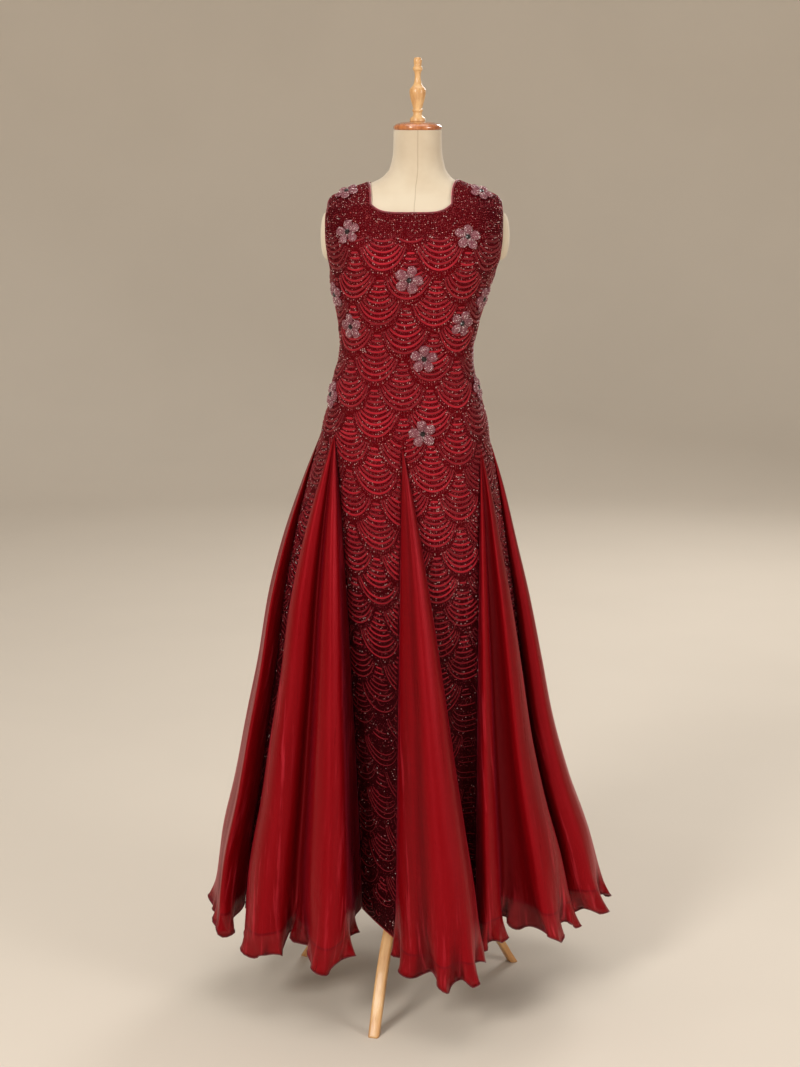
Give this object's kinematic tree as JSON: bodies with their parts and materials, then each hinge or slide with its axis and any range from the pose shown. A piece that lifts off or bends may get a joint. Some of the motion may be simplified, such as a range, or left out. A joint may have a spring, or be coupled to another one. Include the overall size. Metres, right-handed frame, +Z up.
{
  "type": "net gown on dress form",
  "caption": "Sleeveless floor-length gown in beaded scallop lace with flared organza godets and wavy hems, worn on a limbless dress form with a wooden finial and tripod.",
  "frame": {"origin": "on the floor, under the middle of the whole object's box", "axes": "+Z up through the form and its finial, the gown's front toward -Y, +X to the right of someone who faces the front"},
  "size_m": [0.8163, 0.6132, 1.873],
  "materials": {
    "beaded_lace": "deep red net, embroidered and beaded in scallops",
    "organza": "shiny red organza",
    "binding": "satin edge",
    "beaded_petals": "dusty pink petals covered in beads",
    "form_cover": "cream woven cover",
    "varnished_wood": "glossy varnish",
    "turned_wood": "pale, satin",
    "bent_wood": "satin"
  },
  "bodies": {
    "root": {"arm_plate_left": "form_cover", "arm_plate_right": "form_cover", "armhole_binding_left": "binding", "armhole_binding_right": "binding", "finial": "turned_wood", "flower_bust": "beaded_petals", "flower_bust_left": "beaded_petals", "flower_bust_right": "beaded_petals", "flower_chest_left": "beaded_petals", "flower_chest_right": "beaded_petals", "flower_hip": "beaded_petals", "flower_hip_left": "beaded_petals", "flower_hip_right": "beaded_petals", "flower_rib_left": "beaded_petals", "flower_rib_right": "beaded_petals", "flower_shoulder_left": "beaded_petals", "flower_shoulder_right": "beaded_petals", "flower_waist": "beaded_petals", "form_torso": "form_cover", "godet_back": "organza", "godet_back_left": "organza", "godet_back_right": "organza", "godet_front": "organza", "godet_front_left": "organza", "godet_front_right": "organza", "godet_side_left": "organza", "godet_side_right": "organza", "hub": "bent_wood", "lace_back_left": "beaded_lace", "lace_back_right": "beaded_lace", "lace_front": "beaded_lace", "leg_back_left": "bent_wood", "leg_back_right": "bent_wood", "leg_front": "bent_wood", "neck_binding": "binding", "neck_cap": "varnished_wood", "pole": "bent_wood"}
  },
  "joints": []
}
